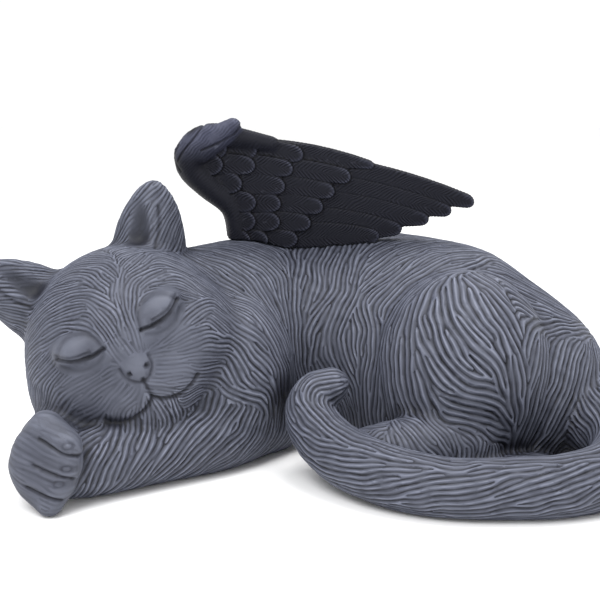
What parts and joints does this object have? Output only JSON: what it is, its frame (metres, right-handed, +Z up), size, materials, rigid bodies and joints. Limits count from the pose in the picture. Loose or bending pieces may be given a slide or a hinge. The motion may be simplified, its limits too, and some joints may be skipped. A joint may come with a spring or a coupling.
{
  "type": "pet memorial statue",
  "caption": "Resin garden statue of a cat curled up asleep with its chin on a foreleg and feathered wings on its back.",
  "frame": {"origin": "centre of the bounding box's footprint, on the flat underside", "axes": "+X along the body from the head towards the tail, -Y towards the face and the curled tail, +Z up"},
  "size_m": [0.2827, 0.1804, 0.1453],
  "materials": {
    "cat_resin": "matte slate-grey paint on cast resin",
    "wing_resin": "matte charcoal paint on cast resin"
  },
  "bodies": {
    "root": {"sleeping_cat": "cat_resin", "left_wing": "wing_resin", "right_wing": "wing_resin"}
  },
  "joints": []
}
